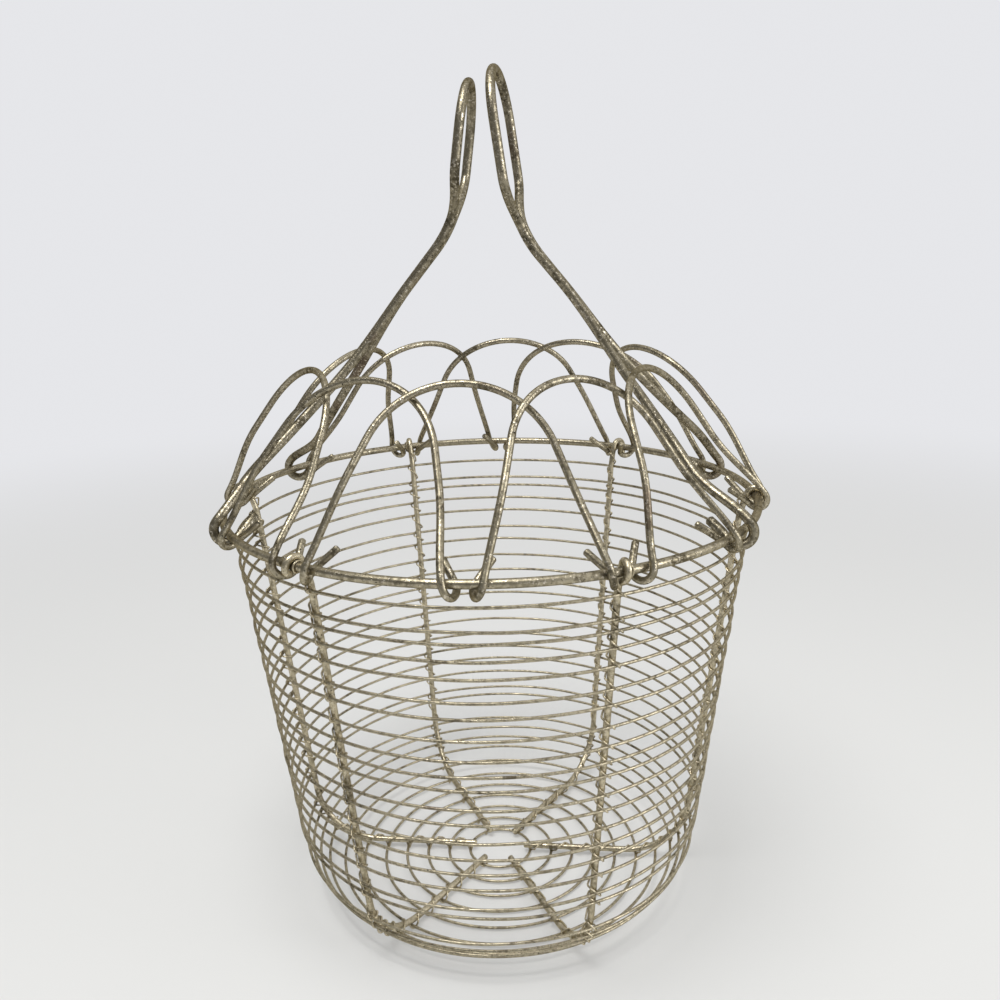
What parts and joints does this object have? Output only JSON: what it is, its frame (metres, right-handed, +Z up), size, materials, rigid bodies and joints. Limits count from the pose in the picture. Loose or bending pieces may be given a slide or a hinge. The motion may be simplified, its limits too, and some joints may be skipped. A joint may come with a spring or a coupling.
{
  "type": "wire egg basket",
  "caption": "Round wire egg basket: rings lashed to ribs under a rim, with hinged petal loops that overlap over the mouth and tall loop handles that meet above it.",
  "frame": {"origin": "centre of the base, on the surface the basket stands on", "axes": "+Z up the basket's axis, +X towards the right-hand handle loop's hinge, -Y to the front"},
  "size_m": [0.2094, 0.2097, 0.3129],
  "materials": {
    "rim_wire": "aged tinned steel wire, dull with grey-brown tarnish",
    "petal_wire": "aged tinned steel wire, worn silvery on top with dark pits",
    "handle_wire": "aged tinned steel wire, hand-worn, with dark pits",
    "rib_wire": "aged tinned steel wire, tarnished",
    "ring_wire": "thin tinned steel wire, satin with tarnish",
    "lashing_wire": "fine soft binding wire, dull grey"
  },
  "bodies": {
    "basket_bowl": {"rim_ring": "rim_wire", "wall_ring_01": "ring_wire", "wall_ring_02": "ring_wire", "wall_ring_03": "ring_wire", "wall_ring_04": "ring_wire", "wall_ring_05": "ring_wire", "wall_ring_06": "ring_wire", "wall_ring_07": "ring_wire", "wall_ring_08": "ring_wire", "wall_ring_09": "ring_wire", "wall_ring_10": "ring_wire", "wall_ring_11": "ring_wire", "wall_ring_12": "ring_wire", "wall_ring_13": "ring_wire", "wall_ring_14": "ring_wire", "wall_ring_15": "ring_wire", "wall_ring_16": "ring_wire", "wall_ring_17": "ring_wire", "wall_ring_18": "ring_wire", "wall_ring_19": "ring_wire", "wall_ring_20": "ring_wire", "wall_ring_21": "ring_wire", "wall_ring_22": "ring_wire", "base_ring_1": "ring_wire", "base_ring_2": "ring_wire", "base_ring_3": "ring_wire", "base_ring_4": "ring_wire", "base_ring_5": "ring_wire", "base_ring_6": "ring_wire", "base_ring_7": "ring_wire", "base_ring_8": "ring_wire", "rib_wire_1": "rib_wire", "rib_wire_2": "rib_wire", "rib_wire_3": "rib_wire", "rib_wire_4": "rib_wire", "rib_wire_5": "rib_wire", "rib_wire_6": "rib_wire", "rib_lashing_1": "lashing_wire", "rib_lashing_2": "lashing_wire", "rib_lashing_3": "lashing_wire", "rib_lashing_4": "lashing_wire", "rib_lashing_5": "lashing_wire", "rib_lashing_6": "lashing_wire"},
    "handle_loop_right": {"handle_loop_right": "handle_wire"},
    "handle_loop_left": {"handle_loop_left": "handle_wire"},
    "petal_loop_01": {"petal_loop_01": "petal_wire"},
    "petal_loop_02": {"petal_loop_02": "petal_wire"},
    "petal_loop_03": {"petal_loop_03": "petal_wire"},
    "petal_loop_04": {"petal_loop_04": "petal_wire"},
    "petal_loop_05": {"petal_loop_05": "petal_wire"},
    "petal_loop_06": {"petal_loop_06": "petal_wire"},
    "petal_loop_07": {"petal_loop_07": "petal_wire"},
    "petal_loop_08": {"petal_loop_08": "petal_wire"},
    "petal_loop_09": {"petal_loop_09": "petal_wire"},
    "petal_loop_10": {"petal_loop_10": "petal_wire"}
  },
  "joints": [
    {"name": "handle_right_hinge", "type": "hinge", "parent": "basket_bowl", "child": "handle_loop_right", "pos_m": [0.08816, -0.00069, 0.16], "axis": [0.0079, 1, 0], "range_deg": [0, 175]},
    {"name": "handle_left_hinge", "type": "hinge", "parent": "basket_bowl", "child": "handle_loop_left", "pos_m": [-0.08832, -0.00393, 0.16], "axis": [0.0445, -0.999, 0], "range_deg": [0, 175]},
    {"name": "petal_01_hinge", "type": "hinge", "parent": "basket_bowl", "child": "petal_loop_01", "pos_m": [0, -0.08899, 0.16], "axis": [1, 0, 0], "range_deg": [0, 175]},
    {"name": "petal_02_hinge", "type": "hinge", "parent": "basket_bowl", "child": "petal_loop_02", "pos_m": [0.04554, -0.07723, 0.16], "axis": [0.8614, 0.5079, 0], "range_deg": [0, 175]},
    {"name": "petal_03_hinge", "type": "hinge", "parent": "basket_bowl", "child": "petal_loop_03", "pos_m": [0.07707, -0.0445, 0.16], "axis": [0.5, 0.866, 0], "range_deg": [0, 175]},
    {"name": "petal_04_hinge", "type": "hinge", "parent": "basket_bowl", "child": "petal_loop_04", "pos_m": [0.07707, 0.0445, 0.16], "axis": [-0.5, 0.866, 0], "range_deg": [0, 175]},
    {"name": "petal_05_hinge", "type": "hinge", "parent": "basket_bowl", "child": "petal_loop_05", "pos_m": [0.04113, 0.0767, 0.16], "axis": [-0.8813, 0.4726, 0], "range_deg": [0, 175]},
    {"name": "petal_06_hinge", "type": "hinge", "parent": "basket_bowl", "child": "petal_loop_06", "pos_m": [0, 0.08899, 0.16], "axis": [-1, 0, 0], "range_deg": [0, 175]},
    {"name": "petal_07_hinge", "type": "hinge", "parent": "basket_bowl", "child": "petal_loop_07", "pos_m": [-0.04848, 0.07465, 0.16], "axis": [-0.8387, -0.5446, 0], "range_deg": [0, 175]},
    {"name": "petal_08_hinge", "type": "hinge", "parent": "basket_bowl", "child": "petal_loop_08", "pos_m": [-0.07707, 0.0445, 0.16], "axis": [-0.5, -0.866, 0], "range_deg": [0, 175]},
    {"name": "petal_09_hinge", "type": "hinge", "parent": "basket_bowl", "child": "petal_loop_09", "pos_m": [-0.07707, -0.0445, 0.16], "axis": [0.5, -0.866, 0], "range_deg": [0, 175]},
    {"name": "petal_10_hinge", "type": "hinge", "parent": "basket_bowl", "child": "petal_loop_10", "pos_m": [-0.04126, -0.07867, 0.16], "axis": [0.8856, -0.4645, 0], "range_deg": [0, 175]}
  ],
  "couplings": [
    {"joint": "handle_left_hinge", "follows": "handle_right_hinge", "ratio": 1},
    {"joint": "petal_01_hinge", "follows": "handle_right_hinge", "ratio": 1},
    {"joint": "petal_02_hinge", "follows": "handle_right_hinge", "ratio": 1},
    {"joint": "petal_03_hinge", "follows": "handle_right_hinge", "ratio": 1},
    {"joint": "petal_04_hinge", "follows": "handle_right_hinge", "ratio": 1},
    {"joint": "petal_05_hinge", "follows": "handle_right_hinge", "ratio": 1},
    {"joint": "petal_06_hinge", "follows": "handle_right_hinge", "ratio": 1},
    {"joint": "petal_07_hinge", "follows": "handle_right_hinge", "ratio": 1},
    {"joint": "petal_08_hinge", "follows": "handle_right_hinge", "ratio": 1},
    {"joint": "petal_09_hinge", "follows": "handle_right_hinge", "ratio": 1},
    {"joint": "petal_10_hinge", "follows": "handle_right_hinge", "ratio": 1}
  ]
}
